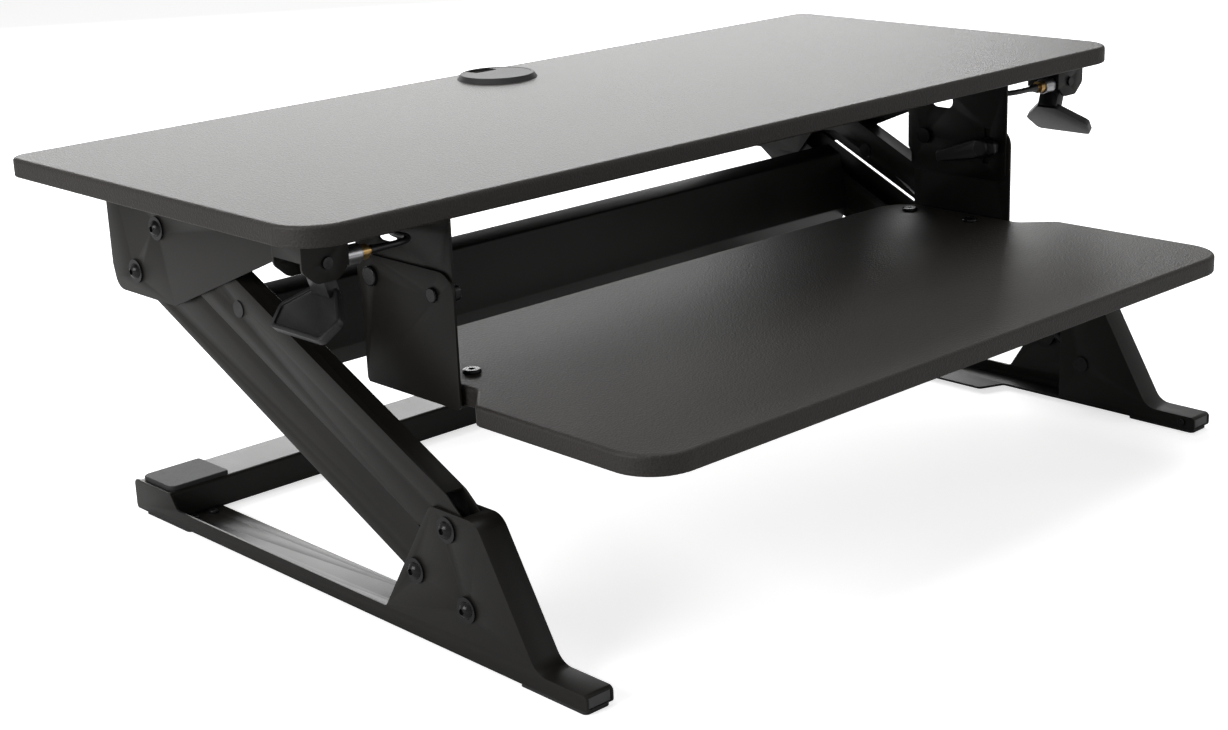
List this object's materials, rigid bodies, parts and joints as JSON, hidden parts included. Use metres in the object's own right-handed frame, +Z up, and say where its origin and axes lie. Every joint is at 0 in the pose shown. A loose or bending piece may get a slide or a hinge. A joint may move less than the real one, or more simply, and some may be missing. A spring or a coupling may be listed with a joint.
{
  "type": "standing desk converter",
  "caption": "Sit-stand desk converter: a wide worktop and a keyboard tray on sprung parallel arms that lift them straight up from a low steel base.",
  "frame": {"origin": "middle of the whole object's footprint, on the surface that it stands on", "axes": "+X to the user's right, +Y away from the user, +Z up"},
  "size_m": [0.914, 0.59, 0.321],
  "materials": {
    "laminate_board": "fine pebbled charcoal laminate over fibreboard, matt",
    "black_steel": "black powder coat, fine texture, satin",
    "black_fasteners": "black oxide, glossy heads",
    "bright_steel": "zinc plated and polished steel",
    "spring_enamel": "black enamel, glossy",
    "brass": "turned brass, dulled",
    "rubber": "black rubber, matt",
    "grey_plastic": "dark grey moulded plastic, fine grain",
    "black_plastic": "black glass-filled plastic, fine grain",
    "cable_sheath": "black cable sheath, satin"
  },
  "bodies": {
    "base": {"base_side_left": "black_steel", "base_side_right": "black_steel", "rear_tube": "black_steel", "rest_pad_left": "rubber", "rest_pad_right": "rubber", "front_foot_pads": "rubber", "rear_foot_pads": "rubber", "toe_plug_left": "grey_plastic", "toe_plug_right": "grey_plastic", "toe_screws": "black_fasteners", "tube_screws": "black_fasteners", "base_pivot_bolts": "black_fasteners", "base_pivot_washers": "black_fasteners", "base_pivot_nuts": "black_fasteners", "base_pivot_spacers": "black_plastic"},
    "lower_arms": {"lower_arm_left": "black_steel", "lower_arm_right": "black_steel", "cross_member": "black_steel", "cross_member_screws": "black_fasteners"},
    "platform": {"worktop": "laminate_board", "top_bracket_left": "black_steel", "top_bracket_right": "black_steel", "top_pivot_bolts": "black_fasteners", "top_pivot_washers": "black_fasteners", "top_pivot_nuts": "black_fasteners", "top_pivot_spacers": "black_plastic", "worktop_screws": "black_fasteners", "tray_bracket_left": "black_steel", "tray_bracket_right": "black_steel", "release_housing_left": "black_steel", "release_housing_right": "black_steel", "lever_pins": "bright_steel", "cable_adjusters": "bright_steel", "adjuster_nuts": "brass", "cable_boots": "black_plastic", "release_cable_left": "cable_sheath", "release_cable_right": "cable_sheath", "cable_clips": "black_plastic", "cable_anchors": "black_plastic", "grommet_ring": "black_plastic"},
    "tray": {"keyboard_tray": "laminate_board", "tray_hanger_left": "black_steel", "tray_hanger_right": "black_steel", "tray_pivot_bolts": "black_fasteners", "clamp_studs": "black_fasteners", "tray_bolts": "black_fasteners", "tray_nuts": "black_fasteners"},
    "cap": {"grommet_cap": "black_plastic"},
    "upper_arm_left": {"upper_arm_left": "black_steel", "rod_pin_left": "bright_steel"},
    "gas_cylinder_left": {"gas_cylinder_left": "spring_enamel"},
    "gas_rod_left": {"gas_rod_left": "bright_steel"},
    "clamp_lever_left": {"clamp_lever_left": "black_plastic"},
    "release_lever_left": {"release_lever_left": "black_plastic"},
    "upper_arm_right": {"upper_arm_right": "black_steel", "rod_pin_right": "bright_steel"},
    "gas_cylinder_right": {"gas_cylinder_right": "spring_enamel"},
    "gas_rod_right": {"gas_rod_right": "bright_steel"},
    "clamp_lever_right": {"clamp_lever_right": "black_plastic"},
    "release_lever_right": {"release_lever_right": "black_plastic"}
  },
  "joints": [
    {"name": "lift", "type": "hinge", "parent": "base", "child": "lower_arms", "pos_m": [0, -0.088, 0.0545], "axis": [1, 0, 0], "range_deg": [-23, 35]},
    {"name": "platform_level", "type": "hinge", "parent": "lower_arms", "child": "platform", "pos_m": [0, 0.2534, 0.21442], "axis": [1, 0, 0], "range_deg": [-35.2, 23.2]},
    {"name": "tray_tilt", "type": "hinge", "parent": "platform", "child": "tray", "pos_m": [0, 0.012, 0.24], "axis": [1, 0, 0], "range_deg": [-9.5, 9.5]},
    {"name": "cap_turn", "type": "hinge", "parent": "platform", "child": "cap", "pos_m": [0, 0.244, 0.32], "axis": [0, 0, 1], "range_deg": [-180, 180]},
    {"name": "upper_arm_swing_left", "type": "hinge", "parent": "base", "child": "upper_arm_left", "pos_m": [-0.363, -0.126, 0.095], "axis": [1, 0, 0], "range_deg": [-23.2, 35.2]},
    {"name": "spring_swing_left", "type": "hinge", "parent": "base", "child": "gas_cylinder_left", "pos_m": [-0.362, -0.143, 0.0405], "axis": [1, 0, 0], "range_deg": [-20, 30.2]},
    {"name": "rod_swing_left", "type": "hinge", "parent": "upper_arm_left", "child": "gas_rod_left", "pos_m": [-0.362, 0.11398, 0.20741], "axis": [1, 0, 0], "range_deg": [-5.5, 3.7]},
    {"name": "clamp_left", "type": "hinge", "parent": "tray", "child": "clamp_lever_left", "pos_m": [-0.311, -0.059, 0.238], "axis": [1, 0, 0], "range_deg": [-75, 35]},
    {"name": "release_left", "type": "hinge", "parent": "platform", "child": "release_lever_left", "pos_m": [-0.42, -0.058, 0.284], "axis": [0, 1, 0], "range_deg": [0, 22], "stiffness_Nm_per_rad": 0.8, "springref_deg": -6.88},
    {"name": "upper_arm_swing_right", "type": "hinge", "parent": "base", "child": "upper_arm_right", "pos_m": [0.363, -0.126, 0.095], "axis": [1, 0, 0], "range_deg": [-23.2, 35.2]},
    {"name": "spring_swing_right", "type": "hinge", "parent": "base", "child": "gas_cylinder_right", "pos_m": [0.362, -0.143, 0.0405], "axis": [1, 0, 0], "range_deg": [-20, 30.2]},
    {"name": "rod_swing_right", "type": "hinge", "parent": "upper_arm_right", "child": "gas_rod_right", "pos_m": [0.362, 0.11398, 0.20741], "axis": [1, 0, 0], "range_deg": [-5.5, 3.7]},
    {"name": "clamp_right", "type": "hinge", "parent": "tray", "child": "clamp_lever_right", "pos_m": [0.311, -0.059, 0.238], "axis": [1, 0, 0], "range_deg": [-75, 35]},
    {"name": "release_right", "type": "hinge", "parent": "platform", "child": "release_lever_right", "pos_m": [0.42, -0.058, 0.284], "axis": [0, -1, 0], "range_deg": [0, 22], "stiffness_Nm_per_rad": 0.8, "springref_deg": -6.88}
  ],
  "couplings": [
    {"joint": "platform_level", "follows": "lift", "ratio": -1},
    {"joint": "upper_arm_swing_left", "follows": "lift", "ratio": 1},
    {"joint": "spring_swing_left", "follows": "lift", "ratio": 0.8524},
    {"joint": "rod_swing_left", "follows": "lift", "ratio": -0.1476},
    {"joint": "upper_arm_swing_right", "follows": "lift", "ratio": 1},
    {"joint": "spring_swing_right", "follows": "lift", "ratio": 0.8524},
    {"joint": "rod_swing_right", "follows": "lift", "ratio": -0.1476}
  ]
}
